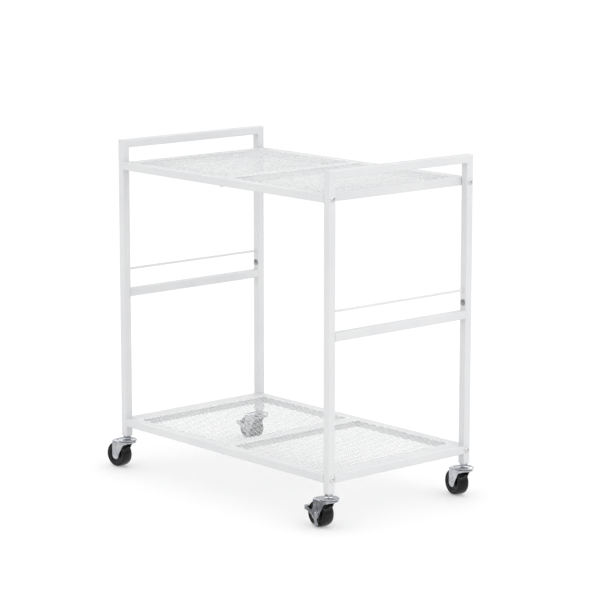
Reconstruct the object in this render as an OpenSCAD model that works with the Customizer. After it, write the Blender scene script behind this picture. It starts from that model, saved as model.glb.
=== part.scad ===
// Rolling steel cart that holds a computer tower on its lower mesh shelf.
// Two welded end frames carry two screwed-in mesh shelves and stand on four
// swivel casters. Units are millimetres. X runs along the long side, Y from
// front to back and Z up from the floor; the origin is on the floor, midway
// between the four posts.

/* [Frame] */
// Length over the outer faces of the posts
cart_l = 600; // [480:10:800]
// Depth over the outer faces of the posts
cart_w = 350; // [300:10:450]
// Height of the top rails above the floor
cart_h = 640; // [600:5:760]
// Outer side of the square tube
tube_w = 15; // [14:1:18]
// Wall of the square tube
tube_t = 1.2; // [1:0.1:1.5]
// Height of the underside of the middle rails
mid_rail_z = 338; // [300:1:380]
// Height of the guard rods' centre line
guard_z = 391; // [385:1:420]
// Diameter of the guard rods
guard_d = 4; // [3:0.5:5]
// Height of the accessory nuts in the posts
nut_z = 368; // [360:1:375]

/* [Shelves] */
// Height of the underside of the lower shelf
lower_z = 84; // [80:1:120]
// Height of the underside of the upper shelf
upper_z = 583; // [540:1:590]
// Thickness of the expanded metal
mesh_t = 1.5; // [1:0.1:2]
// Solid margin around each mesh panel
mesh_margin = 5; // [4:0.5:8]
// Wanted pitch of the diamonds along the cart
diamond_l = 21; // [18:0.5:30]
// Wanted pitch of the diamonds across the cart
diamond_w = 10.5; // [9:0.5:15]
// Width of the strands between the diamonds
strand_w = 1.8; // [1.2:0.1:2.5]

/* [Casters] */
// Diameter of the wheels
wheel_d = 50; // [50:1:52]
// Width of the tyres
wheel_w = 22; // [18:1:22]
// Distance of the axle behind the swivel axis
trail = 22; // [20:1:23]
// Height of the posts' lower ends above the floor
post_z = 65; // [65:0.5:68]
// Diameter of the domed swivel cups
cup_d = 37; // [34:1:40]
// Turn of the front left caster away from trailing straight to the left
turn_front_left = 6.5; // [-180:0.5:180]
// Turn of the front right caster
turn_front_right = -1; // [-180:0.5:180]
// Turn of the back left caster
turn_back_left = 4; // [-180:0.5:180]
// Turn of the back right caster
turn_back_right = -9.5; // [-180:0.5:180]

/* [Hidden] */
$fn = 48;

left = -1;
right = 1;
front = -1;
back = 1;
powder_white = [0.95, 0.95, 0.96];
bright_zinc = [0.8, 0.82, 0.84];
black_plastic = [0.07, 0.07, 0.08];
black_rubber = [0.1, 0.1, 0.11];

// square tube
corner_r = 1.5;
bore_corner_r = 0.4;
bore_w = tube_w - 2 * tube_t;
post_x = cart_l / 2 - tube_w / 2;
post_y = cart_w / 2 - tube_w / 2;
inner_x = cart_l / 2 - tube_w;
inner_y = cart_w / 2 - tube_w;
top_rail_z = cart_h - tube_w;
cut = 60;

// shelf: the diamonds are stretched a little so that whole ones fill a panel
panel_x0 = tube_w / 2;
panel_x1 = inner_x - tube_w;
panel_l = panel_x1 - panel_x0 - 2 * mesh_margin;
panel_w = 2 * inner_y - 2 * mesh_margin;
columns = round(panel_l / diamond_l);
rows = round(panel_w / diamond_w);
pitch_l = panel_l / columns;
pitch_w = panel_w / rows;

// fasteners: M6 through the posts, M8 in the posts' inner faces, M8 stems
screw_r = 3;
screw_hole_r = 3.2;
screw_head_r = 5.25;
screw_head_h = 2.8;
socket_r = 2.3;
insert_l = 20;
insert_gap = 0.1;
tongue_l = 12;
tongue_root = 8;
tongue_t = 4;
tongue_w = 11;
small_screw_r = 2;
small_head_r = 3.8;
small_head_h = 1.8;
nut_bore_r = 3.4;
nut_body_r = 4.6;
nut_flange_r = 6;
nut_flange_t = 0.8;
nut_l = 11;
stem_r = 4;
stem_l = 18;

// caster heights, from the floor up
wheel_r = wheel_d / 2;
axle_z = wheel_r;
axle_r = 3;
run_gap = 0.05;
fork_in = wheel_w / 2 + 0.8;
fork_t = 1.6;
fork_out = fork_in + fork_t;
crown_z = 52;
crown_t = 2;
crown_r = 16.5;
race_r = 11.5;
ball_r = 1.3;
balls = 12;
cup_z = crown_z + crown_t + 1;
cup_t = 1.4;
cup_dome = 2.4;
cup_edge = 6.5;
race_drop = 1.9;
hex_r = 7.4;
hex_z = 60.4;
kingpin_r = 4.6;
rivet_head_r = 7;
rivet_head_t = 2;
leg_back = trail + 6.5;
leg_tip_r = 7.5;
leg_front = trail - 9.5;
axle_head_r = 4.4;
axle_head_t = 1.3;
hub_r = 19.5;

// brake lever, measured from its caster's axle
brake_gap = 0.4;
brake_t = 1.2;
brake_in = fork_out + brake_gap;
brake_out = brake_in + brake_t;
brake_pivot_up = 14;
brake_pin_r = 1.6;
shoe_gap = 1.7;
shoe_t = 1.4;
shoe_in_r = wheel_r + shoe_gap;
shoe_out_r = shoe_in_r + shoe_t;
axle_clear_r = 6.4;
ring_r = 9.2;
toe_in_r = 17.3;
toe_out_r = 20.5;
pedal_w = 12;

// Two casters on one diagonal have brakes.
function has_brake(side, depth) = side * depth == left * back;

function arc(x, y, r, from, to, steps = 8) =
  [for (i = [0:steps]) let (a = from + (to - from) * i / steps) [x + r * cos(a), y + r * sin(a)]];

// ---- square tube ----

module rounded_square(w, r) {
  square([w, w - 2 * r], center = true);
  square([w - 2 * r, w], center = true);
  for (x = [-1, 1], y = [-1, 1])
    translate([x, y] * (w / 2 - r)) circle(r, $fn = 24);
}

// Hollow square tube that stands on the XY plane.
module tube(length) {
  linear_extrude(length) difference() {
    rounded_square(tube_w, corner_r);
    rounded_square(bore_w, bore_corner_r);
  }
}

module tube_x(from, to) { translate([from, 0, 0]) rotate([0, 90, 0]) tube(to - from); }
module tube_y(from, to) { translate([0, to, 0]) rotate([90, 0, 0]) tube(to - from); }

// Everything above the mitre plane of a post's top corner.
module above_mitre() {
  translate([-cut / 2, inner_y, top_rail_z]) rotate([45, 0, 0])
    translate([0, -cut, 0]) cube([cut, 2 * cut, cut]);
}

// Children drawn for the right back corner go to the corner that is named.
module at_corner(side, depth) {
  mirror([side == left ? 1 : 0, 0, 0]) mirror([0, depth == front ? 1 : 0, 0]) children();
}

module at_every_corner() { for (s = [left, right], d = [front, back]) at_corner(s, d) children(); }

// ---- end frames ----

module post(side, depth) {
  color(powder_white) at_corner(side, depth) difference() {
    translate([post_x, post_y, post_z]) tube(cart_h - post_z);
    translate([post_x, 0, 0]) above_mitre();
    for (z = [lower_z, upper_z])
      translate([post_x, post_y, z + tube_w / 2]) rotate([0, 90, 0])
        cylinder(h = 2 * tube_w, r = screw_hole_r, center = true);
    translate([post_x, inner_y - 1, nut_z]) rotate([-90, 0, 0])
      cylinder(h = 1 + tube_t + 1, r = nut_body_r);
  }
}

module top_rail(side) {
  color(powder_white) translate([side * post_x, 0, 0]) difference() {
    translate([0, 0, top_rail_z + tube_w / 2]) tube_y(-cart_w / 2, cart_w / 2);
    for (m = [0, 1]) mirror([0, m, 0])
      translate([0, inner_y, top_rail_z]) rotate([45, 0, 0])
        translate([-cut / 2, -cut, -cut]) cube([cut, 2 * cut, cut]);
  }
}

module cross_rail(side, z) {
  color(powder_white) translate([side * post_x, 0, z + tube_w / 2]) tube_y(-inner_y, inner_y);
}

module guard_rod(side) {
  color(powder_white) translate([side * post_x, inner_y, guard_z]) rotate([90, 0, 0])
    cylinder(h = 2 * inner_y, d = guard_d);
}

// ---- shelves ----

// Slot for the crossbar's tongue and hole for its screw, in a long tube's frame.
module crossbar_joint_cuts(depth) {
  translate([-tongue_w / 2, depth == front ? 0 : -tube_w, -tongue_t / 2])
    cube([tongue_w, tube_w, tongue_t]);
  translate([0, 0, -tube_w]) cylinder(h = tube_w, r = small_screw_r + 0.2);
}

module long_tube(depth, z) {
  color(powder_white) translate([0, depth * post_y, z + tube_w / 2]) difference() {
    tube_x(-inner_x, inner_x);
    crossbar_joint_cuts(depth);
  }
}

module short_tube(side, z) {
  color(powder_white) translate([side * (inner_x - tube_w / 2), 0, z + tube_w / 2])
    tube_y(-inner_y, inner_y);
}

// Crossbar with a plugged end and a tongue on each side that reach into the long tubes.
module crossbar(z) {
  color(powder_white) translate([0, 0, z + tube_w / 2]) {
    tube_y(-inner_y, inner_y);
    for (m = [0, 1]) mirror([0, m, 0]) {
      translate([0, inner_y, 0]) rotate([90, 0, 0]) linear_extrude(tongue_root)
        square(bore_w, center = true);
      difference() {
        translate([-tongue_w / 2, inner_y - 1, -tongue_t / 2])
          cube([tongue_w, tongue_l + 1, tongue_t]);
        translate([0, post_y, 0]) cylinder(h = 2 * tongue_t, r = small_screw_r, center = true);
      }
    }
  }
}

// One diamond hole, centred on a point.
module diamond(x, y) {
  l = pitch_l / 2 - strand_w;
  w = pitch_w / 2 - strand_w / 2;
  translate([x, y]) polygon([[-l, 0], [0, -w], [l, 0], [0, w]]);
}

// Panel of expanded metal: a full grid of diamonds and a second one in its gaps.
module mesh_panel(side, z) {
  x0 = panel_x0 + mesh_margin;
  color(powder_white) mirror([side == left ? 1 : 0, 0, 0])
    translate([0, 0, z + tube_w - mesh_t]) linear_extrude(mesh_t) difference() {
      translate([panel_x0, -inner_y]) square([panel_x1 - panel_x0, 2 * inner_y]);
      for (i = [0:columns - 1], j = [0:rows - 1])
        diamond(x0 + (i + 0.5) * pitch_l, (j + 0.5) * pitch_w - panel_w / 2);
      for (i = [1:columns - 1], j = [1:rows - 1])
        diamond(x0 + i * pitch_l, j * pitch_w - panel_w / 2);
    }
}

// ---- fasteners ----

module button_screw(length) {
  difference() {
    union() {
      translate([0, 0, -length]) cylinder(h = length, r = screw_r);
      rotate_extrude() polygon(concat(
        [[0, 0], [screw_head_r, 0]],
        [for (a = [0:15:75]) [screw_head_r - 1.4 * (1 - cos(a)) * 1.6, 0.4 + (screw_head_h - 0.4) * sin(a)]],
        [[screw_head_r * 0.5, screw_head_h], [0, screw_head_h]]));
    }
    translate([0, 0, screw_head_h - 1.8]) cylinder(h = 3, r = socket_r, $fn = 6);
  }
}

module shelf_screws() {
  color(bright_zinc) at_every_corner() for (z = [lower_z, upper_z])
    translate([cart_l / 2, post_y, z + tube_w / 2]) rotate([0, 90, 0])
      button_screw(tube_w + insert_l - 4);
}

// Threaded plug in the end of a tube, from the end face inwards.
module tube_plug(length, hole_r) {
  linear_extrude(length) difference() {
    rounded_square(bore_w - insert_gap, bore_corner_r + 0.3);
    circle(hole_r);
  }
}

module shelf_inserts() {
  color(bright_zinc) at_every_corner() for (z = [lower_z, upper_z])
    translate([inner_x, post_y, z + tube_w / 2]) rotate([0, -90, 0])
      tube_plug(insert_l, screw_r);
}

module crossbar_screws() {
  color(bright_zinc) for (d = [front, back], z = [lower_z, upper_z])
    translate([0, d * post_y, z]) {
      cylinder(h = tube_w / 2 + tongue_t / 2, r = small_screw_r);
      translate([0, 0, -small_head_h]) cylinder(h = small_head_h, r = small_head_r);
    }
}

module accessory_nuts() {
  color(bright_zinc) at_every_corner()
    translate([post_x, inner_y, nut_z]) rotate([-90, 0, 0]) difference() {
      union() {
        cylinder(h = nut_l, r = nut_body_r);
        translate([0, 0, -nut_flange_t]) cylinder(h = nut_flange_t, r = nut_flange_r);
      }
      cylinder(h = 3 * nut_l, r = nut_bore_r, center = true);
    }
}

module stem_inserts() {
  color(black_plastic) at_every_corner()
    translate([post_x, post_y, post_z]) tube_plug(insert_l, stem_r);
}

// ---- casters ----

// Threaded stem, hexagon, kingpin and riveted lower end in one piece.
module caster_stems() {
  color(bright_zinc) at_every_corner() translate([post_x, post_y, 0]) {
    translate([0, 0, post_z]) cylinder(h = stem_l, r = stem_r);
    translate([0, 0, hex_z]) cylinder(h = post_z - hex_z, r = hex_r, $fn = 6);
    translate([0, 0, crown_z - 0.3]) cylinder(h = hex_z - crown_z + 0.3, r = kingpin_r);
    translate([0, 0, crown_z - 0.3 - rivet_head_t]) cylinder(h = rivet_head_t, r = rivet_head_r);
  }
}

// Domed cup over the ball race, pressed onto the kingpin.
module swivel_cups() {
  r = cup_d / 2;
  top = hex_z - cup_z;
  color(bright_zinc) at_every_corner() translate([post_x, post_y, cup_z]) rotate_extrude()
    polygon(concat(
      [[r - cup_t, 0], [r, 0]],
      [for (a = [0:15:90]) [r - cup_edge * (1 - cos(a)), 0.8 + cup_dome * sin(a)]],
      [[hex_r + 1.4, 0.9 + cup_dome], [hex_r + 0.8, top], [kingpin_r, top]],
      [[kingpin_r, race_drop], [race_r + 1.8, race_drop], [r - cup_t, 0.5]]));
}

module race_balls() {
  color(bright_zinc) at_every_corner() translate([post_x, post_y, cup_z + race_drop - ball_r])
    for (i = [0:balls - 1]) rotate([0, 0, i * 360 / balls])
      translate([race_r, 0, 0]) sphere(ball_r, $fn = 24);
}

// Children drawn for a caster at the origin that trails to -X.
module at_caster(side, depth, turn) {
  translate([side * post_x, depth * post_y, 0]) rotate([0, 0, turn]) children();
}

// Children in the plane of the wheel: local X stays and local Y points up.
module beside_wheel(from, to) {
  for (m = [0, 1]) mirror([0, m, 0])
    translate([0, to, 0]) rotate([90, 0, 0]) linear_extrude(to - from) children();
}

// Children in the plane of the wheel, drawn out to both sides of it.
module across(half) {
  translate([0, half, 0]) rotate([90, 0, 0]) linear_extrude(2 * half) children();
}

leg_outline = concat(
  [[-leg_back, crown_z + crown_t], [-leg_back, axle_z]],
  arc(-leg_back + leg_tip_r + 1, axle_z, leg_tip_r + 1, 180, 320),
  [[-leg_front + 3.5, 31], [-leg_front + 9, 38.5]],
  arc(11, 33, 16, 145, 95),
  [[13, crown_z], [13, crown_z + crown_t]]
);

module fork(side, depth, turn) {
  color(bright_zinc) at_caster(side, depth, turn) difference() {
    union() {
      beside_wheel(fork_in, fork_out) polygon(leg_outline);
      translate([-leg_back, -fork_out, crown_z]) cube([leg_back, 2 * fork_out, crown_t]);
      translate([0, 0, crown_z]) cylinder(h = crown_t, r = crown_r);
      translate([0, 0, crown_z - 1.2]) difference() {
        cylinder(h = 1.2, r = crown_r);
        translate([0, 0, -1]) cylinder(h = 3, r = crown_r - 1.2);
        translate([-cut - 4, -cut / 2, -1]) cube([cut, cut, 3]);
      }
    }
    translate([0, 0, crown_z - 1]) cylinder(h = crown_t + 2, r = kingpin_r + run_gap);
    translate([-trail, 0, axle_z]) rotate([90, 0, 0])
      cylinder(h = 4 * fork_out, r = axle_r, center = true);
    if (has_brake(side, depth))
      translate([-trail, 0, axle_z + brake_pivot_up]) rotate([90, 0, 0])
        cylinder(h = 4 * fork_out, r = brake_pin_r, center = true);
  }
}

module axle(side, depth, turn) {
  color(bright_zinc) at_caster(side, depth, turn) translate([-trail, 0, axle_z])
    rotate([90, 0, 0]) {
      cylinder(h = 2 * fork_out, r = axle_r, center = true);
      for (m = [0, 1]) mirror([0, 0, m]) translate([0, 0, fork_out])
        cylinder(h = axle_head_t, r = axle_head_r);
    }
}

module on_axle(side, depth, turn) {
  at_caster(side, depth, turn) translate([-trail, 0, axle_z]) rotate([90, 0, 0]) children();
}

module wheel(side, depth, turn) {
  w = wheel_w / 2;
  color(black_plastic) on_axle(side, depth, turn) rotate_extrude() polygon([
    [axle_r + run_gap, -w], [7, -w], [7.6, -w + 2.4], [15, -w + 3.4], [16.5, -w + 1],
    [hub_r, -w + 1], [hub_r, w - 1], [16.5, w - 1], [15, w - 3.4], [7.6, w - 2.4],
    [7, w], [axle_r + run_gap, w]
  ]);
}

module tyre(side, depth, turn) {
  w = wheel_w / 2;
  color(black_rubber) on_axle(side, depth, turn) rotate_extrude($fn = 96) polygon(concat(
    [[hub_r, -w + 1], [hub_r + 1.2, -w + 0.3], [wheel_r - 2.6, -w]],
    [for (a = [-75:15:75]) [wheel_r - 2.6 + 2.6 * cos(a), (w - 0.4) * sin(a)]],
    [[wheel_r - 2.6, w], [hub_r + 1.2, w - 0.3], [hub_r, w - 1]]));
}

// Cheek of the brake lever: over the pivot, round the axle's head, down to the toe
// and back along the arm to the shoe.
cheek_outline = concat(
  arc(0, brake_pivot_up, 4.5, 190, -10),
  arc(0, 0, ring_r, 50, -55),
  arc(0, 0, toe_out_r, -62, -108, 6),
  arc(0, 0, toe_in_r, -108, -88, 3),
  arc(0, 0, ring_r, -105, -165, 5),
  arc(0, 0, shoe_out_r, 168, 158, 3),
  [[-9.5, 5.8]]
);
shoe_outline = concat(
  arc(0, 0, shoe_in_r, 172, 158, 5),
  arc(0, 0, shoe_out_r, 158, 172, 5)
);
pedal_outline = [
  [-26.3, 6.6], [-31, 7.4], [-34.5, 6.4], [-37.5, 6.8], [-38.8, 8],
  [-39.6, 7.2], [-38.2, 5.4], [-34.3, 4.9], [-31, 6], [-26.3, 5.4]
];

module brake_lever(side, depth, turn) {
  color(bright_zinc) at_caster(side, depth, turn) translate([-trail, 0, axle_z]) difference() {
    union() {
      beside_wheel(brake_in, brake_out) polygon(cheek_outline);
      across(brake_out) polygon(shoe_outline);
      across(pedal_w / 2) polygon(pedal_outline);
    }
    translate([0, 0, brake_pivot_up]) rotate([90, 0, 0])
      cylinder(h = 4 * fork_out, r = brake_pin_r + run_gap, center = true);
    rotate([90, 0, 0]) cylinder(h = 4 * fork_out, r = axle_clear_r, center = true);
  }
}

// Headed pins that hold the lever's cheeks outside the fork's legs.
module brake_rivets(side, depth, turn) {
  color(bright_zinc) at_caster(side, depth, turn)
    translate([-trail, 0, axle_z + brake_pivot_up])
      for (m = [0, 1]) mirror([0, m, 0]) rotate([-90, 0, 0]) {
        translate([0, 0, fork_in]) cylinder(h = brake_out + 0.3 - fork_in, r = brake_pin_r);
        translate([0, 0, brake_out + 0.3]) cylinder(h = 1, r = 2.8);
      }
}

post(left, front);  // post_front_left
post(right, front);  // post_front_right
post(left, back);  // post_back_left
post(right, back);  // post_back_right
top_rail(left);  // top_rail_left
top_rail(right);  // top_rail_right
cross_rail(left, mid_rail_z);  // mid_rail_left
cross_rail(right, mid_rail_z);  // mid_rail_right
guard_rod(left);  // guard_rod_left
guard_rod(right);  // guard_rod_right
cross_rail(left, lower_z);  // bottom_rail_left
cross_rail(right, lower_z);  // bottom_rail_right
long_tube(front, upper_z);  // upper_front_tube
long_tube(back, upper_z);  // upper_back_tube
short_tube(left, upper_z);  // upper_left_tube
short_tube(right, upper_z);  // upper_right_tube
crossbar(upper_z);  // upper_crossbar
mesh_panel(left, upper_z);  // upper_mesh_left
mesh_panel(right, upper_z);  // upper_mesh_right
long_tube(front, lower_z);  // lower_front_tube
long_tube(back, lower_z);  // lower_back_tube
short_tube(left, lower_z);  // lower_left_tube
short_tube(right, lower_z);  // lower_right_tube
crossbar(lower_z);  // lower_crossbar
mesh_panel(left, lower_z);  // lower_mesh_left
mesh_panel(right, lower_z);  // lower_mesh_right
shelf_screws();
shelf_inserts();
crossbar_screws();
accessory_nuts();
stem_inserts();
caster_stems();
swivel_cups();
race_balls();
fork(left, front, turn_front_left);  // fork_front_left
axle(left, front, turn_front_left);  // axle_front_left
wheel(left, front, turn_front_left);  // wheel_front_left
tyre(left, front, turn_front_left);  // tyre_front_left
fork(right, front, turn_front_right);  // fork_front_right
axle(right, front, turn_front_right);  // axle_front_right
wheel(right, front, turn_front_right);  // wheel_front_right
tyre(right, front, turn_front_right);  // tyre_front_right
fork(left, back, turn_back_left);  // fork_back_left
axle(left, back, turn_back_left);  // axle_back_left
wheel(left, back, turn_back_left);  // wheel_back_left
tyre(left, back, turn_back_left);  // tyre_back_left
fork(right, back, turn_back_right);  // fork_back_right
axle(right, back, turn_back_right);  // axle_back_right
wheel(right, back, turn_back_right);  // wheel_back_right
tyre(right, back, turn_back_right);  // tyre_back_right
brake_lever(right, front, turn_front_right);  // brake_lever_front_right
brake_rivets(right, front, turn_front_right);  // brake_rivets_front_right
brake_lever(left, back, turn_back_left);  // brake_lever_back_left
brake_rivets(left, back, turn_back_left);  // brake_rivets_back_left
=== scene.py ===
"""Looks of the rolling computer-tower cart: powder-coated tube frame, two shelves of expanded
metal and four swivel casters. Lengths in the builders below are millimetres, and every mesh is
scaled to metres when it is finished."""

import math
import random

import bmesh
import bpy
from mathutils import Matrix, Vector


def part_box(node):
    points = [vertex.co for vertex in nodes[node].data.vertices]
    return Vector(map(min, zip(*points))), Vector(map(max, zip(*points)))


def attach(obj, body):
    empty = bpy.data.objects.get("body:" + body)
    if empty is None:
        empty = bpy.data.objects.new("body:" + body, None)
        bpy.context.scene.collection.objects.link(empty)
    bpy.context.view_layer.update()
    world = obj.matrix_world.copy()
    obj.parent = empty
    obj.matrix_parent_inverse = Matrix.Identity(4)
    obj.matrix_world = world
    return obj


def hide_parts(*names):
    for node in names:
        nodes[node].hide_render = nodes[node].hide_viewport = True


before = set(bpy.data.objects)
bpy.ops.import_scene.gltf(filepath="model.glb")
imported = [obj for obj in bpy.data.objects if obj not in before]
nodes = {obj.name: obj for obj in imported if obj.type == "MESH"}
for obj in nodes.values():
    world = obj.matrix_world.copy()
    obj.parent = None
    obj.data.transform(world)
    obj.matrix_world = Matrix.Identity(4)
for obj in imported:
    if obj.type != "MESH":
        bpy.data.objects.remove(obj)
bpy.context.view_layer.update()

MM = 0.001
CORNERS = ("front_left", "front_right", "back_left", "back_right")
BRAKED = ("front_right", "back_left")
SIDES = ("left", "right")
SHELVES = ("lower", "upper")
random.seed(7)


# ---------------------------------------------------------------- materials

def start_material(name, roughness, metallic=0.0):
    material = bpy.data.materials.new(name)
    material.use_nodes = True
    tree = material.node_tree
    shader = tree.nodes["Principled BSDF"]
    shader.inputs["Metallic"].default_value = metallic
    shader.inputs["Roughness"].default_value = roughness
    return material, tree, shader


def add_noise(tree, scale, detail=3.0, stretch=(1.0, 1.0, 1.0)):
    coordinates = tree.nodes.new("ShaderNodeTexCoord")
    mapping = tree.nodes.new("ShaderNodeMapping")
    mapping.inputs["Scale"].default_value = stretch
    noise = tree.nodes.new("ShaderNodeTexNoise")
    noise.inputs["Scale"].default_value = scale
    noise.inputs["Detail"].default_value = detail
    tree.links.new(coordinates.outputs["Object"], mapping.inputs["Vector"])
    tree.links.new(mapping.outputs["Vector"], noise.inputs["Vector"])
    return noise.outputs["Fac"]


def colour_between(tree, shader, value, dark, light):
    """The base colour runs from dark to light as value rises."""
    ramp = tree.nodes.new("ShaderNodeValToRGB")
    ramp.color_ramp.elements[0].position = 0.35
    ramp.color_ramp.elements[1].position = 0.65
    ramp.color_ramp.elements[0].color = (*dark, 1.0)
    ramp.color_ramp.elements[1].color = (*light, 1.0)
    tree.links.new(value, ramp.inputs["Fac"])
    tree.links.new(ramp.outputs["Color"], shader.inputs["Base Color"])


def roughness_between(tree, shader, value, low, high):
    """The roughness runs from low to high as value rises."""
    spread = tree.nodes.new("ShaderNodeMapRange")
    spread.inputs["From Min"].default_value = 0.3
    spread.inputs["From Max"].default_value = 0.7
    spread.inputs["To Min"].default_value = low
    spread.inputs["To Max"].default_value = high
    tree.links.new(value, spread.inputs["Value"])
    tree.links.new(spread.outputs["Result"], shader.inputs["Roughness"])


def add_bump(tree, shader, height, depth, strength):
    """A relief of the given depth, in metres."""
    bump = tree.nodes.new("ShaderNodeBump")
    bump.inputs["Strength"].default_value = strength
    bump.inputs["Distance"].default_value = depth
    tree.links.new(height, bump.inputs["Height"])
    tree.links.new(bump.outputs["Normal"], shader.inputs["Normal"])


def powder_coat(name, grey, gloss):
    """White baked powder: a fine orange peel and faint changes of tone and gloss."""
    material, tree, shader = start_material(name, gloss)
    dark = (grey - 0.015, grey - 0.01, grey)
    light = (grey + 0.02, grey + 0.023, grey + 0.028)
    colour_between(tree, shader, add_noise(tree, scale=9, detail=4), dark, light)
    roughness_between(tree, shader, add_noise(tree, scale=60, detail=4),
                      low=gloss - 0.06, high=gloss + 0.06)
    add_bump(tree, shader, add_noise(tree, scale=700, detail=2), depth=0.06 * MM, strength=0.35)
    shader.inputs["Coat Weight"].default_value = 0.25
    shader.inputs["Coat Roughness"].default_value = 0.18
    return material


def bright_zinc():
    """Bright plated pressings: cool and warm patches, drawing marks and uneven polish."""
    material, tree, shader = start_material("bright_zinc", 0.16, metallic=1.0)
    colour_between(tree, shader, add_noise(tree, scale=70, detail=3),
                   dark=(0.38, 0.4, 0.445), light=(0.6, 0.6, 0.61))
    roughness_between(tree, shader, add_noise(tree, scale=240, detail=5), low=0.07, high=0.2)
    drawn = add_noise(tree, scale=900, detail=3, stretch=(1.0, 1.0, 0.15))
    add_bump(tree, shader, drawn, depth=0.03 * MM, strength=0.3)
    return material


def zinc_steel(name, grey, roughness):
    """Zinc-plated fasteners, a little duller than the pressings."""
    material, tree, shader = start_material(name, roughness, metallic=1.0)
    dark = (grey - 0.06, grey - 0.055, grey - 0.04)
    light = (grey + 0.06,) * 3
    colour_between(tree, shader, add_noise(tree, scale=160, detail=3), dark, light)
    roughness_between(tree, shader, add_noise(tree, scale=500, detail=4),
                      low=roughness - 0.09, high=roughness + 0.09)
    add_bump(tree, shader, add_noise(tree, scale=1600, detail=3), depth=0.03 * MM, strength=0.35)
    return material


def black_nylon():
    """Moulded wheel centres and plugs with a fine sparked texture."""
    material, tree, shader = start_material("black_nylon", 0.36)
    colour_between(tree, shader, add_noise(tree, scale=90, detail=3),
                   dark=(0.004, 0.004, 0.0045), light=(0.009, 0.009, 0.010))
    roughness_between(tree, shader, add_noise(tree, scale=320, detail=4), low=0.26, high=0.42)
    add_bump(tree, shader, add_noise(tree, scale=2200, detail=2), depth=0.04 * MM, strength=0.35)
    shader.inputs["Specular IOR Level"].default_value = 0.3
    return material


def tread():
    """Glossy black tyres, with a duller bloom here and there."""
    material, tree, shader = start_material("tread", 0.24)
    colour_between(tree, shader, add_noise(tree, scale=60, detail=4),
                   dark=(0.004, 0.004, 0.0045), light=(0.010, 0.010, 0.011))
    roughness_between(tree, shader, add_noise(tree, scale=180, detail=5), low=0.1, high=0.24)
    add_bump(tree, shader, add_noise(tree, scale=1300, detail=3), depth=0.03 * MM, strength=0.25)
    shader.inputs["Specular IOR Level"].default_value = 0.22
    return material


FINISH = {
    "powder_coat": powder_coat("powder_coat", grey=0.685, gloss=0.34),
    # The expanded metal has the frame's powder coat, made lighter here: painted light for the
    # strands that catch more light at a low view.
    "painted_light_mesh_coat": powder_coat("painted_light_mesh_coat", grey=0.78, gloss=0.28),
    "bright_zinc": bright_zinc(),
    "screw_steel": zinc_steel("screw_steel", grey=0.8, roughness=0.29),
    # A darker copy of the fastener steel: painted shade for the rivet nuts' bores. The crossbar
    # socket screws take it too.
    "painted_shade_steel": zinc_steel("painted_shade_steel", grey=0.4, roughness=0.38),
    "black_nylon": black_nylon(),
    "tread": tread(),
}


# ---------------------------------------------------------------- shapes

def arc(x, y, radius, start, end, steps=8):
    """Points of an arc round (x, y) from start to end degrees."""
    turns = [math.radians(start + (end - start) * i / steps) for i in range(steps + 1)]
    return [(x + radius * math.cos(a), y + radius * math.sin(a)) for a in turns]


def softened(points, radius, closed=False, steps=3):
    """The line through points, with its corners rounded by curves that start radius away, or
    just short of halfway along a side too short for that."""
    reach = 0.45
    rounded = []
    count = len(points)
    for i, point in enumerate(points):
        if not closed and i in (0, count - 1):
            rounded.append(tuple(point))
            continue
        corner = Vector(point)
        before = Vector(points[i - 1]) - corner
        after = Vector(points[(i + 1) % count]) - corner
        near = corner + before.normalized() * min(radius, before.length * reach)
        far = corner + after.normalized() * min(radius, after.length * reach)
        for k in range(steps + 1):
            t = k / steps
            rounded.append(tuple(near * (1 - t) ** 2 + corner * 2 * t * (1 - t) + far * t * t))
    return rounded


def mirrored(half):
    """A profile and its reflection in the plane of height 0."""
    return half + [(r, -y) for r, y in reversed(half)]


def finished(name, bm, crease=38):
    """Turns a bmesh in millimetres into a mesh in metres, smooth but where it turns by more
    than crease degrees."""
    bmesh.ops.remove_doubles(bm, verts=bm.verts, dist=1e-4)
    bmesh.ops.recalc_face_normals(bm, faces=bm.faces)
    bmesh.ops.scale(bm, vec=(MM, MM, MM), verts=bm.verts)
    mesh = bpy.data.meshes.new(name)
    bm.to_mesh(mesh)
    bm.free()
    mesh.shade_smooth()
    mesh.set_sharp_from_angle(angle=math.radians(crease))
    return mesh


def add_turned(bm, profile, turn=Matrix.Identity(4), steps=96):
    """A solid turned about Z. Each point is (radius, height); a radius may be a function of the
    angle. A profile that starts on the axis ends on it; any other is a closed ring."""
    rings = []
    for radius, height in profile:
        ring = []
        for i in range(steps):
            angle = 2 * math.pi * i / steps
            r = radius(angle) if callable(radius) else radius
            point = Vector((r * math.cos(angle), r * math.sin(angle), height))
            ring.append(bm.verts.new(turn @ point))
            if radius == 0:
                ring *= steps
                break
        rings.append(ring)
    if profile[0][0] != 0:
        rings.append(rings[0])
    for lower, upper in zip(rings, rings[1:]):
        for i in range(steps):
            k = (i + 1) % steps
            corners = dict.fromkeys((lower[i], lower[k], upper[k], upper[i]))
            if len(corners) > 2:
                bm.faces.new(list(corners))


def join_rings(bm, one, two):
    """Faces between two closed rings of as many corners."""
    for k in range(len(one)):
        after = (k + 1) % len(one)
        bm.faces.new((one[k], one[after], two[after], two[k]))


def hexagon(across_flats):
    """Radius of a hexagon as a function of the angle."""
    return lambda angle: across_flats / 2 / math.cos(angle % (math.pi / 3) - math.pi / 6)


def within(limit, shape):
    """The radius function shape, cut off at limit."""
    return lambda angle: min(limit, shape(angle))


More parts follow.
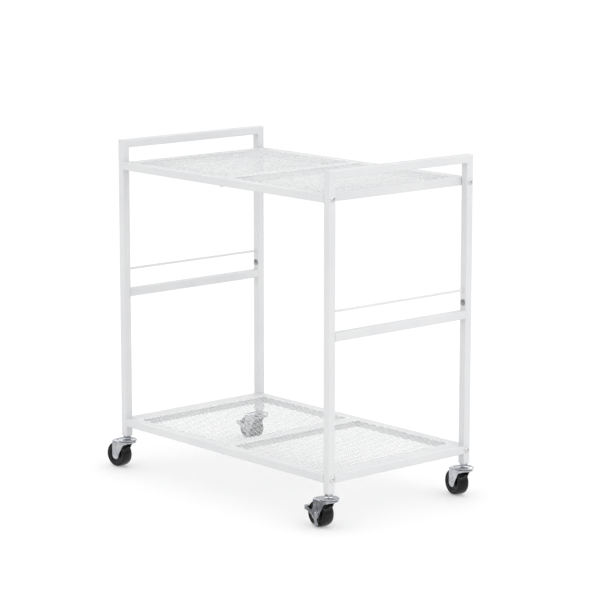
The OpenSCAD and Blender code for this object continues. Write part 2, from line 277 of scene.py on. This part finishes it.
def add_plate(bm, outlines, start, end, edge=0.3):
    """A flat pressing in the XZ plane from y = start to y = end, with rounded edges. The first
    outline is its rim and any others are holes."""
    curve = bpy.data.curves.new("outline", "CURVE")
    curve.dimensions = "2D"
    curve.fill_mode = "BOTH"
    curve.extrude = (end - start) / 2 - edge
    curve.bevel_depth = edge
    curve.bevel_resolution = 2
    curve.offset = -edge
    for outline in outlines:
        spline = curve.splines.new("POLY")
        spline.points.add(len(outline) - 1)
        for point, (x, z) in zip(spline.points, outline):
            point.co = (x, z, 0, 1)
        spline.use_cyclic_u = True
    carrier = bpy.data.objects.new("outline", curve)
    mesh = bpy.data.meshes.new_from_object(carrier)
    part = bmesh.new()
    part.from_mesh(mesh)
    bpy.data.objects.remove(carrier)
    bpy.data.curves.remove(curve)
    bpy.data.meshes.remove(mesh)
    upright = Matrix.Translation((0, (start + end) / 2, 0)) @ Matrix.Rotation(math.pi / 2, 4, "X")
    merge(bm, part, upright)


def merge(bm, part, turn=Matrix.Identity(4)):
    """Moves part by turn and adds it to bm."""
    part.transform(turn)
    carrier = bpy.data.meshes.new("carrier")
    part.to_mesh(carrier)
    part.free()
    bm.from_mesh(carrier)
    bpy.data.meshes.remove(carrier)


# A bead's ripples and unevenness are shares of its radius, and no bead runs along NO_BEAD_ALONG.
BEAD_SIDES = 8
RIPPLE_GAP = 1.5
RIPPLE = 0.1
WOBBLE = 0.05
NO_BEAD_ALONG = Vector((0.31, 0.52, 0.79))


def add_bead(bm, points, radius, closed=False):
    """A weld bead along points, with the ripples that each step of the weld leaves and with
    thinner ends."""
    line = [Vector(p) for p in points]
    count = len(line)
    rings = []
    run = 0.0
    for i, point in enumerate(line):
        ahead = line[(i + 1) % count] if closed or i < count - 1 else point
        behind = line[i - 1] if closed or i > 0 else point
        along = (ahead - behind).normalized()
        side = along.cross(NO_BEAD_ALONG).normalized()
        other = along.cross(side)
        run += (point - line[i - 1]).length if i else 0.0
        step = RIPPLE * math.cos(2 * math.pi * run / RIPPLE_GAP)
        thick = radius * (1 + step + random.uniform(-WOBBLE, WOBBLE))
        if not closed:
            thick *= min(1.0, 0.45 + 0.3 * min(i, count - 1 - i))
        ring = []
        for k in range(BEAD_SIDES):
            a = 2 * math.pi * k / BEAD_SIDES
            ring.append(bm.verts.new(point + (side * math.cos(a) + other * math.sin(a)) * thick))
        rings.append(ring)
    pairs = list(zip(rings, rings[1:]))
    if closed:
        pairs.append((rings[-1], rings[0]))
    for one, two in pairs:
        join_rings(bm, one, two)
    if not closed:
        bm.faces.new(rings[0])
        bm.faces.new(rings[-1])


def spaced(start, end, gap=0.4):
    """Points from start to end about gap apart."""
    a, b = Vector(start), Vector(end)
    steps = max(2, round((b - a).length / gap))
    return [a.lerp(b, i / steps) for i in range(steps + 1)]


def add_piece(name, mesh, body, finish, place=Matrix.Identity(4), stands_for=()):
    """A copy of mesh at place that rides on body and is shown for the nodes of stands_for."""
    mesh = mesh.copy()
    mesh.transform(place)
    mesh.materials.append(FINISH[finish])
    piece = bpy.data.objects.new(name, mesh)
    bpy.context.scene.collection.objects.link(piece)
    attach(piece, body)
    if stands_for:
        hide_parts(*stands_for)
    return piece


def add_group(name, build, places, finish, stands_for):
    """One piece of the root body made of a copy of build's shape at each place."""
    whole = bmesh.new()
    for place in places:
        part = bmesh.new()
        build(part)
        merge(whole, part, place)
    return add_piece(name, finished(name, whole), "root", finish, stands_for=stands_for)


def middle(node):
    """Middle of a node's box, in millimetres."""
    low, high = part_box(node)
    return (low + high) / 2 / MM


def edges(node):
    """Lowest and highest corner of a node's box, in millimetres."""
    low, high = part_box(node)
    return low / MM, high / MM


# ---------------------------------------------------------------- frame sizes

TUBE = 15.0
post_at = {corner: middle(f"post_{corner}") for corner in CORNERS}
outer_x = edges("post_back_right")[1].x
outer_y = edges("post_back_right")[1].y
inner_y = outer_y - TUBE
inner_faces = (-inner_y, inner_y)
shelf_z = {shelf: middle(f"{shelf}_front_tube").z for shelf in SHELVES}
shelf_top = {shelf: edges(f"{shelf}_mesh_left")[1].z for shelf in SHELVES}
nut_z = middle("accessory_nuts").z
post_bottom = edges("post_front_left")[0].z


# ---------------------------------------------------------------- expanded metal

MARGIN = 5.0
DIAMOND_L = 21.0
DIAMOND_W = 10.5
STRAND = 1.8
SHEET = 0.8
HALF_SHEET = SHEET / 2
TILT = 0.52
SOFT_EDGE = 0.2
BOW = 1.05
PANEL_CREASE = 50

# One diamond's corners and the middles of its sides, in half lengths and half widths, and which
# way the strand leans there.
DIAMOND = [(1, 0), (0.5, 0.5), (0, 1), (-0.5, 0.5), (-1, 0), (-0.5, -0.5), (0, -1), (0.5, -0.5)]
LEAN = [0, 1, 1, 1, 0, -1, -1, -1]

# The half strand's section from its top round the hole's side to its underside, as the share of
# the way out from the hole and the height.
STRAND_SECTION = [(1, HALF_SHEET), (0.3, HALF_SHEET), (0, HALF_SHEET - SOFT_EDGE),
                  (0, SOFT_EDGE - HALF_SHEET), (0.3, -HALF_SHEET), (1, -HALF_SHEET)]


def add_strands(bm, centre, half_l, half_w):
    """The four half strands round one diamond, each tilted as slitting and stretching leave it."""
    hole_l = half_l - STRAND
    hole_w = half_w - STRAND / 2
    rings = []
    for share, height in STRAND_SECTION:
        ring = []
        for k, (x, y) in enumerate(DIAMOND):
            bulge = BOW if k % 2 else 1.0
            outer = Vector((x * half_l, y * half_w))
            inner = Vector((x * hole_l * bulge, y * hole_w * bulge))
            flat = centre + inner.lerp(outer, share)
            ring.append(bm.verts.new((flat.x, flat.y, height + TILT * LEAN[k] * (1 - share))))
        rings.append(ring)
    for one, two in zip(rings, rings[1:]):
        join_rings(bm, one, two)


def add_faces_of_sheet(bm, points):
    """A flat piece of sheet inside points: its top and its underside."""
    for height in (HALF_SHEET, -HALF_SHEET):
        bm.faces.new([bm.verts.new((p.x, p.y, height)) for p in points])


def add_cut_edge(bm, a, b):
    """The sheet's cut edge from a to b."""
    corners = ((a, HALF_SHEET), (b, HALF_SHEET), (b, -HALF_SHEET), (a, -HALF_SHEET))
    bm.faces.new([bm.verts.new((p.x, p.y, height)) for p, height in corners])


def add_rim(bm, line, outward, edge):
    """The flat rim between the zigzag line of the outermost strands and one edge of the sheet."""
    def carried(point):
        return Vector((edge, point.y)) if outward == "x" else Vector((point.x, edge))

    for a, b in zip(line, line[1:]):
        add_faces_of_sheet(bm, (a, b, carried(b), carried(a)))
        add_cut_edge(bm, carried(b), carried(a))


def expanded_panel():
    """One panel about its own middle. The diamonds lie in two sets, each in the other's gaps,
    and a flat rim closes the panel on all sides."""
    low, high = edges("upper_mesh_left")
    size = high - low
    columns = round((size.x - 2 * MARGIN) / DIAMOND_L)
    rows = round((size.y - 2 * MARGIN) / DIAMOND_W)
    half_l = (size.x - 2 * MARGIN) / columns / 2
    half_w = (size.y - 2 * MARGIN) / rows / 2
    x0 = MARGIN - size.x / 2
    y0 = MARGIN - size.y / 2
    bm = bmesh.new()
    for i in range(columns):
        for j in range(rows):
            centre = Vector((x0 + (2 * i + 1) * half_l, y0 + (2 * j + 1) * half_w))
            add_strands(bm, centre, half_l, half_w)
    for i in range(1, columns):
        for j in range(1, rows):
            centre = Vector((x0 + 2 * i * half_l, y0 + 2 * j * half_w))
            add_strands(bm, centre, half_l, half_w)
    across = [Vector((x0 + k * half_l / 2, y0 + half_w * abs(1 - k % 4 / 2)))
              for k in range(4 * columns + 1)]
    along = [Vector((x0 + half_l * (1 - abs(1 - k % 4 / 2)), y0 + half_w * (1 + k / 2)))
             for k in range(4 * rows - 3)]
    for sign in (1, -1):
        add_rim(bm, [p * sign for p in across], "y", -sign * size.y / 2)
        add_rim(bm, [p * sign for p in along], "x", -sign * size.x / 2)
        for flip in (1, -1):
            ends = [Vector((x * sign, y * sign * flip)) for x, y in
                    ((x0, y0 + half_w), (-size.x / 2, y0 + half_w), (-size.x / 2, -size.y / 2),
                     (x0, -size.y / 2))]
            add_faces_of_sheet(bm, ends)
            add_cut_edge(bm, ends[1], ends[2])
            add_cut_edge(bm, ends[2], ends[3])
    return finished("expanded_panel", bm, PANEL_CREASE)


def add_shelf_meshes():
    panel = expanded_panel()
    for shelf in SHELVES:
        for side in SIDES:
            node = f"{shelf}_mesh_{side}"
            place = Vector((middle(node).x, 0, shelf_top[shelf] - HALF_SHEET - TILT)) * MM
            # The lighter mesh coat paints the light that the strands catch.
            add_piece(f"{shelf}_expanded_metal_{side}", panel, "root", "painted_light_mesh_coat",
                      Matrix.Translation(place), [node])


# ---------------------------------------------------------------- welds

RAIL_FILLET = 1.25
RAIL_FILLET_HALF = 6
ROD_FILLET = 0.8
CORNER_FILLET = 1.3
TACK = 1.0
TACK_HALF = 5
TACK_SHARES = (0.12, 0.37, 0.63, 0.88)
WELD_CREASE = 70


def add_frame_welds():
    """Fillets where the rails and guard rods meet the posts, all under the powder coat."""
    for side in SIDES:
        bm = bmesh.new()
        x = post_at[f"back_{side}"].x
        left, right = x - RAIL_FILLET_HALF, x + RAIL_FILLET_HALF
        top_rail_low = edges(f"top_rail_{side}")[:1]
        for rail in (edges(f"mid_rail_{side}"), edges(f"bottom_rail_{side}"), top_rail_low):
            for y in inner_faces:
                for edge in rail:
                    add_bead(bm, spaced((left, y, edge.z), (right, y, edge.z)), RAIL_FILLET)
        low, high = edges(f"guard_rod_{side}")
        rod_z = (low.z + high.z) / 2
        rod_r = (high.z - low.z) / 2
        ring = arc(0, rod_z, rod_r + 0.3, 0, 345, 23)
        for y in inner_faces:
            add_bead(bm, [(x + u, y, z) for u, z in ring], ROD_FILLET, closed=True)
        add_piece(f"frame_welds_{side}", finished("frame_welds", bm, WELD_CREASE), "root",
                  "powder_coat")


def add_shelf_welds():
    """Fillets in each shelf's corners and tacks that hold the expanded metal in its frame."""
    for shelf in SHELVES:
        bm = bmesh.new()
        tack_z = shelf_top[shelf] - SHEET - TILT
        for side, sign in zip(SIDES, (-1, 1)):
            tube = edges(f"{shelf}_{side}_tube")
            x = tube[0].x if sign > 0 else tube[1].x
            for y in inner_faces:
                add_bead(bm, spaced((x, y, tube[0].z + 2), (x, y, tube[1].z - 3)), CORNER_FILLET)
            low, high = edges(f"{shelf}_mesh_{side}")
            for share in TACK_SHARES:
                at = low.lerp(high, share)
                for y in inner_faces:
                    add_bead(bm, spaced((at.x - TACK_HALF, y, tack_z),
                                        (at.x + TACK_HALF, y, tack_z)), TACK)
                for edge in (low.x, high.x):
                    add_bead(bm, spaced((edge, at.y - TACK_HALF, tack_z),
                                        (edge, at.y + TACK_HALF, tack_z)), TACK)
        add_piece(f"shelf_welds_{shelf}", finished("shelf_welds", bm, WELD_CREASE), "root",
                  "powder_coat")


# ---------------------------------------------------------------- fasteners

NUT_FLANGE = 0.8
THREADS = 17
THREAD_PITCH = 0.62


def button_screw(bm):
    """M6 button head with a hexagon socket, on the XY plane with its shank below."""
    socket = hexagon(4.0)
    edge = [(3.5 + 1.8 * math.cos(a), 0.5 + 1.9 * math.sin(a))
            for a in (math.radians(d) for d in range(0, 81, 10))]
    add_turned(bm, [(0, -31), (2.6, -31), (3, -30.4), (3, 0), (5.1, 0), (5.3, 0.2), *edge,
                    (3.4, 2.5), (2.6, 2.75), (within(2.3, hexagon(4.2)), 2.78), (socket, 2.6),
                    (socket, 0.4), (0, 0.1)])


def small_screw(bm):
    """M4 cheese head with a hexagon socket, on the XY plane with its shank below."""
    socket = hexagon(2.5)
    add_turned(bm, [(0, -9.5), (1.9, -9.5), (2, -9.2), (2, 0), (3.6, 0), (3.8, 0.25), (3.8, 1.35),
                    (3.45, 1.75), (1.6, 1.8), (socket, 1.7), (socket, 0.7), (0, 0.5)], steps=60)


def rivet_nut(bm):
    """Threaded insert with a thin flange, whose face is on the XY plane."""
    ridges = []
    for i in range(THREADS):
        ridges += [(3.4, -0.5 - THREAD_PITCH * i), (3.75, -0.81 - THREAD_PITCH * i)]
    add_turned(bm, [(3.75, 0), (5.7, 0), (6, -0.25), (6, -0.75), (5.8, -NUT_FLANGE),
                    (4.6, -NUT_FLANGE), (4.6, -11.8), (3.6, -11.8), *reversed(ridges)], steps=72)


def add_fasteners():
    """Shelf screws on the posts' outer faces, rivet nuts in their inner faces and the small
    screws under the crossbars' ends."""
    outward = {"left": Matrix.Rotation(math.radians(-90), 4, "Y"),
               "right": Matrix.Rotation(math.radians(90), 4, "Y")}
    screws, nuts, small = [], [], []
    for corner in CORNERS:
        depth, side = corner.split("_")
        sign = 1 if side == "right" else -1
        inward = -1 if depth == "back" else 1
        for shelf in SHELVES:
            spot = Vector((sign * outer_x, post_at[corner].y, shelf_z[shelf]))
            twist = Matrix.Rotation(random.uniform(0, 1), 4, "Z")
            screws.append(Matrix.Translation(spot) @ outward[side] @ twist)
        face = Vector((post_at[corner].x, -inward * (inner_y - NUT_FLANGE), nut_z))
        nuts.append(Matrix.Translation(face) @ Matrix.Rotation(math.radians(-90 * inward), 4, "X"))
    for y in (post_at["front_left"].y, post_at["back_left"].y):
        for shelf in SHELVES:
            under = edges(f"{shelf}_front_tube")[0].z
            small.append(Matrix.Translation((0, y, under)) @ Matrix.Rotation(math.pi, 4, "X"))
    add_group("shelf_button_screws", button_screw, screws, "screw_steel", ["shelf_screws"])
    # The rivet nuts and crossbar screws take the darker steel, which paints shade in and under
    # them.
    add_group("accessory_rivet_nuts", rivet_nut, nuts, "painted_shade_steel", ["accessory_nuts"])
    add_group("crossbar_socket_screws", small_screw, small, "painted_shade_steel", ["crossbar_screws"])


# ---------------------------------------------------------------- casters

# AXLE_Z and the two tops are heights above the floor, and BRAKE_PIVOT is above the axle. TRAIL and
# LEG_BACK are behind the swivel axis. FORK_OUT and the cheeks' faces are measured sideways from the
# wheel's middle. ROUND_FROM is how far ahead the crown's round edge may begin to narrow the fork.
AXLE_Z = 25.0
TRAIL = 22.0
AXLE_BORE = 3.05
LEG_BACK = 28.5
LEG_TIP = 8.5
FORK_OUT = 13.4
PRESSED = 1.6
BEND = 3.2
CROWN_TOP = 54.0
CROWN_R = 16.5
ROUND_FROM = 9
CUP_R = 18.45
CUP_TOP = 60.4
KINGPIN_R = 4.6
HEXAGON_CHAMFER_R = 6.75
BRAKE_PIVOT = 14
CHEEK_IN, CHEEK_OUT = 13.8, 15.0
ALONG_Y = Matrix.Rotation(math.radians(-90), 4, "X")
ON_AXLE = Matrix.Translation((-TRAIL, 0, AXLE_Z)) @ ALONG_Y


def caster_place(corner):
    """Where a caster's own frame lies: swivel axis at the origin, wheel behind it towards -X."""
    post, axle = post_at[corner], middle(f"axle_{corner}")
    turn = math.atan2(post.y - axle.y, post.x - axle.x)
    return Matrix.Translation(Vector((post.x, post.y, 0)) * MM) @ Matrix.Rotation(turn, 4, "Z")


def fork_section(x, low, inset):
    """Half of the fork's section at x, from the edge of the leg up and over to the middle."""
    reach = FORK_OUT
    if x >= ROUND_FROM:
        reach = min(FORK_OUT, math.sqrt(max(CROWN_R ** 2 - x ** 2, 1)))
    wall = reach - inset
    roof = CROWN_TOP - inset
    bend = BEND - inset
    spring = CROWN_TOP - BEND
    low = min(low, spring - 0.2)
    leg = [(wall, low + (spring - low) * i / 4) for i in range(4)]
    return leg + arc(wall - bend, spring, bend, 0, 90, 5) + [((wall - bend) / 2, roof)]


def fork_pressing():
    """One sheet bent over the wheel, a round crown and a boss round each end of the axle."""
    lower_edge = ([(-LEG_BACK, AXLE_Z)] + arc(-LEG_BACK + LEG_TIP, AXLE_Z, LEG_TIP, 190, 320, 13)
                  + [(-11.5, 25), (-9, 31), (-6.3, 35), (-3.5, 38.8)]
                  + arc(11, 33, 16, 142, 95, 6) + [(11.5, 50.6), (13.5, 51)])
    bm = bmesh.new()
    shells = []
    for inset in (0.0, PRESSED):
        shell = []
        for x, low in lower_edge:
            half = fork_section(x, low, inset)
            line = half + [(0, half[-1][1])] + [(-y, z) for y, z in reversed(half)]
            shell.append([bm.verts.new((x, y, z)) for y, z in line])
        shells.append(shell)
    outer, inner = shells
    last = len(outer[0]) - 1
    for shell in shells:
        for a, b in zip(shell, shell[1:]):
            for k in range(last):
                bm.faces.new((a[k], a[k + 1], b[k + 1], b[k]))
    rim = []
    for k in (0, last):
        for i in range(len(outer) - 1):
            rim.append(bm.faces.new((outer[i][k], outer[i + 1][k], inner[i + 1][k], inner[i][k])))
    for i in (0, len(outer) - 1):
        for k in range(last):
            rim.append(bm.faces.new((outer[i][k], outer[i][k + 1], inner[i][k + 1], inner[i][k])))
    bmesh.ops.recalc_face_normals(bm, faces=bm.faces)
    sharp = [e for e in bm.edges if len(e.link_faces) == 2
             and sum(f in rim for f in e.link_faces) == 1]
    bmesh.ops.bevel(bm, geom=sharp, offset=0.65, segments=3, profile=0.5, affect="EDGES",
                    clamp_overlap=True)
    crown = softened([(4.65, 52), (4.65, 54.02), (9.8, 54.02), (10.5, 53.7), (12.5, 53.7),
                      (13.2, 54.05), (15.4, 54.05), (CROWN_R, 53.2), (CROWN_R, 50.8),
                      (CROWN_R - 1.2, 50.8), (CROWN_R - 1.2, 52)], 0.35, closed=True)
    add_turned(bm, crown)
    boss = softened([(AXLE_BORE, FORK_OUT - 0.1), (5.9, FORK_OUT - 0.1), (5.3, FORK_OUT + 0.3),
                     (AXLE_BORE, FORK_OUT + 0.3)], 0.2, closed=True)
    for sign in (1, -1):
        add_turned(bm, [(r, sign * y) for r, y in boss], ON_AXLE, steps=64)
    return finished("fork_pressing", bm)


def swivel_cup(bm):
    """Domed cup over the balls, rolled at its edge, with the seat for the hexagon on top."""
    dome = [(CUP_R - 6.5 * (1 - math.cos(a)), 55.9 + 2.5 * math.sin(a))
            for a in (math.radians(d) for d in range(0, 86, 8))]
    add_turned(bm, [(13.3, 56.9), (16.6, 55.7), (17.2, 55.1), (17.9, 54.95), (18.4, 55.3), *dome,
                    (10, 58.45), (9.1, 58.6), (8.6, 59.1), (8.3, 60.1), (8, CUP_TOP),
                    (KINGPIN_R, CUP_TOP), (KINGPIN_R, 56.9)])


def caster_stem(bm):
    """Stem, chamfered hexagon, kingpin and peened end in one piece."""
    flats = hexagon(12.8)
    chamfer = within(HEXAGON_CHAMFER_R, flats)
    add_turned(bm, [(0, 83), (3.6, 83), (4, 82.6), (4, post_bottom), (6.3, post_bottom),
                    (chamfer, post_bottom - 0.15), (flats, post_bottom - 0.7), (flats, 61.1),
                    (chamfer, 60.55), (6.3, CUP_TOP), (KINGPIN_R, CUP_TOP), (KINGPIN_R, 51.7),
                    (6.6, 51.7), (7, 51.3), (6.5, 50.4), (KINGPIN_R, 49.8), (2.5, 49.65),
                    (0, 49.9)])


def axle_rivet():
    """Axle with a low domed head against each leg of the fork."""
    half = [(0, 14.95), (1.2, 14.93), (2.6, 14.75), (3.7, 14.35), (4.3, 13.9), (4.4, 13.55),
            (4.35, FORK_OUT), (3, FORK_OUT)]
    bm = bmesh.new()
    add_turned(bm, mirrored(half), ON_AXLE, steps=64)
    return finished("axle_rivet", bm)


def wheel_centre():
    """Moulded centre with a boss, a dished web and a raised ring under the tyre."""
    side = [(AXLE_BORE, 11), (6.4, 11), (7, 10.5), (7.5, 8.7), (8.6, 8.2), (13.8, 7.7), (15, 7.9),
            (15.7, 9.6), (16.4, 10.2), (18.6, 10.2), (19.5, 9.9)]
    bm = bmesh.new()
    add_turned(bm, softened(mirrored(side), 0.5, closed=True, steps=2), ON_AXLE)
    return finished("wheel_centre", bm)


def tyre():
    """Crowned tyre with a ring round each shoulder and a moulded line round the middle."""
    def groove(y):
        ring = 0.3 * math.exp(-((abs(y) - 7.2) / 0.5) ** 2)
        seam = 0.08 * math.exp(-(y / 0.35) ** 2)
        return ring - seam

    crown = []
    for degrees in range(-78, 79, 3):
        a = math.radians(degrees)
        y = 10.7 * math.sin(a)
        crown.append((22.3 + 2.6 * math.cos(a) - groove(y), y))
    side = [(19.5, 9.9), (19.9, 10.5), (20.6, 10.75), (21.0, 10.45), (21.3, 10.75)]
    loop = [(r, -y) for r, y in side] + crown + list(reversed(side))
    bm = bmesh.new()
    add_turned(bm, loop, ON_AXLE, steps=128)
    return finished("tyre", bm)


def brake_lever_pressing():
    """Two cheeks, the shoe that joins them and the pedal, measured from the axle."""
    ring_r, shoe_in, shoe_out, edge = 9.2, 26.7, 28.1, 0.28
    cheek = (arc(0, BRAKE_PIVOT, 4.5, 190, -10, 14) + arc(0, 0, ring_r, 50, -55, 12)
             + arc(0, 0, 20.5, -62, -108, 8) + arc(0, 0, 17.3, -108, -88, 4)
             + arc(0, 0, ring_r, -105, -165, 7) + arc(0, 0, shoe_out, 168, 158, 3) + [(-9.5, 5.8)])
    holes = [arc(0, 0, 6.4, 0, 352, 44), arc(0, BRAKE_PIVOT, 1.7, 0, 345, 23)]
    shoe = arc(0, 0, shoe_in, 172, 158, 6) + arc(0, 0, shoe_out, 158, 172, 6)
    pedal = [(-26.3, 6.6), (-31, 7.4), (-34.5, 6.4), (-37.5, 6.8), (-38.8, 8), (-39.6, 7.2),
             (-38.2, 5.4), (-34.3, 4.9), (-31, 6), (-26.3, 5.4)]
    bm = bmesh.new()
    for start, end in ((CHEEK_IN, CHEEK_OUT), (-CHEEK_OUT, -CHEEK_IN)):
        add_plate(bm, [softened(cheek, 0.8, closed=True, steps=2), *holes], start, end, edge)
    add_plate(bm, [shoe], -CHEEK_OUT, CHEEK_OUT, edge)
    add_plate(bm, [softened(pedal, 1.2, closed=True)], -6, 6, edge=0.35)
    bmesh.ops.translate(bm, vec=(-TRAIL, 0, AXLE_Z), verts=bm.verts)
    return finished("brake_lever_pressing", bm)


def brake_rivet_pair():
    """The two rivets on which the lever's cheeks turn."""
    rivet = [(0, 11.8), (1.6, 11.8), (1.6, 15.3), (2.6, 15.3), (2.8, 15.5), (2.6, 15.95),
             (1.7, 16.25), (0, 16.35)]
    place = Matrix.Translation((-TRAIL, 0, AXLE_Z + BRAKE_PIVOT)) @ ALONG_Y
    bm = bmesh.new()
    for sign in (1, -1):
        add_turned(bm, [(r, sign * y) for r, y in rivet], place, steps=48)
    return finished("brake_rivet_pair", bm)


def add_casters():
    """Four casters; the shapes are shared, and each lies as its node in the frame does."""
    pressing, rivet, centre, rubber = fork_pressing(), axle_rivet(), wheel_centre(), tyre()
    lever, pins = brake_lever_pressing(), brake_rivet_pair()
    for corner in CORNERS:
        place = caster_place(corner)
        fork, wheel = f"fork_{corner}", f"wheel_{corner}"
        add_piece(f"fork_pressing_{corner}", pressing, fork, "bright_zinc", place, [fork])
        add_piece(f"axle_rivet_{corner}", rivet, fork, "bright_zinc", place, [f"axle_{corner}"])
        add_piece(f"wheel_centre_{corner}", centre, wheel, "black_nylon", place, [wheel])
        add_piece(f"tyre_tread_{corner}", rubber, wheel, "tread", place, [f"tyre_{corner}"])
        if corner in BRAKED:
            add_piece(f"brake_pressing_{corner}", lever, f"brake_{corner}", "bright_zinc", place,
                      [f"brake_lever_{corner}"])
            add_piece(f"brake_pins_{corner}", pins, fork, "bright_zinc", place,
                      [f"brake_rivets_{corner}"])
    upright = [Matrix.Translation((post_at[c].x, post_at[c].y, 0)) for c in CORNERS]
    add_group("domed_swivel_cups", swivel_cup, upright, "bright_zinc", ["swivel_cups"])
    add_group("caster_stem_hexagons", caster_stem, upright, "bright_zinc", ["caster_stems"])


# ---------------------------------------------------------------- carried-over nodes

def finish_frame_nodes():
    """Material and slot for every node that shows as CAD made it."""
    finishes = {"shelf_inserts": "screw_steel", "stem_inserts": "black_nylon",
                "race_balls": "bright_zinc"}
    for name, node in nodes.items():
        if node.hide_render:
            continue
        slot = finishes.get(name, "powder_coat")
        node.data.materials.clear()
        node.data.materials.append(FINISH[slot])


# ---------------------------------------------------------------- stage

FLOOR_HALF = 40
FLOOR_GLOW = 0.33
PATCH_AT = (0.1, -0.36, 0)

# Greys by distance from the patch's middle, in metres.
PATCH_GREYS = ((0, 0.34), (0.13, 0.4), (0.28, 0.85), (0.42, 1.05), (0.6, 0.8), (1, 0.85))

# Greys of the studio's reflection by the height of the direction, from level to straight up.
STUDIO_GREYS = ((0, 0.5), (0.22, 0.55), (0.4, 1.3), (0.55, 1.9), (0.7, 1.5), (0.85, 0.4), (1, 0.3))
STUDIO_STRENGTH = 1.12

CAMERA_AT = (3.5442, -3.0854, 1.2233)
CAMERA_YAW = 138.77
CAMERA_PITCH = 10.515
LENS = 153.13
SENSOR = 36.0
CART_MIDDLE = (0, 0, 0.3)


def set_greys(ramp, stops):
    """Gives a colour ramp its grey stops, from the first at 0 to the last at 1."""
    ends = ramp.color_ramp.elements
    ends[0].position, ends[1].position = 0.0, 1.0
    ends[0].color = (stops[0][1],) * 3 + (1,)
    ends[1].color = (stops[-1][1],) * 3 + (1,)
    for position, grey in stops[1:-1]:
        ends.new(position).color = (grey, grey, grey, 1)


def add_floor():
    """White floor with pale shadows. Reflections see a grey patch in it, beside the front right
    caster, so that its fork legs come out darker than the edges and rims that face elsewhere."""
    bm = bmesh.new()
    bmesh.ops.create_grid(bm, x_segments=8, y_segments=8, size=FLOOR_HALF)
    mesh = bpy.data.meshes.new("floor")
    bm.to_mesh(mesh)
    bm.free()
    material, tree, shader = start_material("floor", 0.75)
    colour_between(tree, shader, add_noise(tree, scale=0.6, detail=2),
                   dark=(0.93, 0.93, 0.93), light=(0.95, 0.95, 0.95))
    glow = tree.nodes.new("ShaderNodeEmission")
    pale = tree.nodes.new("ShaderNodeMixShader")
    pale.inputs["Fac"].default_value = FLOOR_GLOW
    coordinates = tree.nodes.new("ShaderNodeTexCoord")
    distance = tree.nodes.new("ShaderNodeVectorMath")
    distance.operation = "DISTANCE"
    distance.inputs[1].default_value = PATCH_AT
    ramp = tree.nodes.new("ShaderNodeValToRGB")
    set_greys(ramp, PATCH_GREYS)
    mirrored = tree.nodes.new("ShaderNodeEmission")
    path = tree.nodes.new("ShaderNodeLightPath")
    choice = tree.nodes.new("ShaderNodeMixShader")
    tree.links.new(shader.outputs["BSDF"], pale.inputs[1])
    tree.links.new(glow.outputs["Emission"], pale.inputs[2])
    tree.links.new(coordinates.outputs["Object"], distance.inputs[0])
    tree.links.new(distance.outputs["Value"], ramp.inputs["Fac"])
    tree.links.new(ramp.outputs["Color"], mirrored.inputs["Color"])
    tree.links.new(path.outputs["Is Glossy Ray"], choice.inputs["Fac"])
    tree.links.new(pale.outputs["Shader"], choice.inputs[1])
    tree.links.new(mirrored.outputs["Emission"], choice.inputs[2])
    tree.links.new(choice.outputs["Shader"], tree.nodes["Material Output"].inputs["Surface"])
    mesh.materials.append(material)
    floor = bpy.data.objects.new("floor", mesh)
    bpy.context.scene.collection.objects.link(floor)


def add_area_light(name, place, size, power):
    """A square light that shines on the cart's middle."""
    light = bpy.data.lights.new(name, "AREA")
    light.shape = "SQUARE"
    light.size = size
    light.energy = power
    lamp = bpy.data.objects.new(name, light)
    lamp.location = place
    aim = Vector(CART_MIDDLE) - Vector(place)
    lamp.rotation_euler = aim.to_track_quat("-Z", "Y").to_euler()
    bpy.context.scene.collection.objects.link(lamp)


def set_world():
    """Even white light. Reflections see a studio with a darker band, so that metal has contrast."""
    world = bpy.data.worlds.new("studio")
    world.use_nodes = True
    tree = world.node_tree
    sky = tree.nodes["Background"]
    coordinates = tree.nodes.new("ShaderNodeTexCoord")
    split = tree.nodes.new("ShaderNodeSeparateXYZ")
    ramp = tree.nodes.new("ShaderNodeValToRGB")
    set_greys(ramp, STUDIO_GREYS)
    path = tree.nodes.new("ShaderNodeLightPath")
    mix = tree.nodes.new("ShaderNodeMix")
    mix.data_type = "RGBA"
    mix.inputs["A"].default_value = (1, 1, 1, 1)
    tree.links.new(coordinates.outputs["Generated"], split.inputs["Vector"])
    tree.links.new(split.outputs["Z"], ramp.inputs["Fac"])
    tree.links.new(path.outputs["Is Glossy Ray"], mix.inputs["Factor"])
    tree.links.new(ramp.outputs["Color"], mix.inputs["B"])
    tree.links.new(mix.outputs["Result"], sky.inputs["Color"])
    sky.inputs["Strength"].default_value = STUDIO_STRENGTH
    bpy.context.scene.world = world


def add_camera():
    """The view onto the front right corner, from a little above the top rails."""
    yaw, pitch = math.radians(CAMERA_YAW), math.radians(CAMERA_PITCH)
    camera = bpy.data.objects.new("camera", bpy.data.cameras.new("camera"))
    camera.data.sensor_width = SENSOR
    camera.data.lens = LENS
    camera.data.clip_end = 200
    camera.location = CAMERA_AT
    level = math.cos(pitch)
    aim = Vector((math.cos(yaw) * level, math.sin(yaw) * level, -math.sin(pitch)))
    camera.rotation_euler = aim.to_track_quat("-Z", "Y").to_euler()
    bpy.context.scene.collection.objects.link(camera)
    bpy.context.scene.camera = camera


add_camera()
add_shelf_meshes()
add_frame_welds()
add_shelf_welds()
add_fasteners()
add_casters()
finish_frame_nodes()
add_floor()
set_world()
add_area_light("key", (3.2, 0.4, 2.6), size=1.6, power=13)
add_area_light("fill", (-1.5, -3.5, 2.2), size=2.2, power=2.5)
bpy.context.scene.view_settings.view_transform = "Standard"
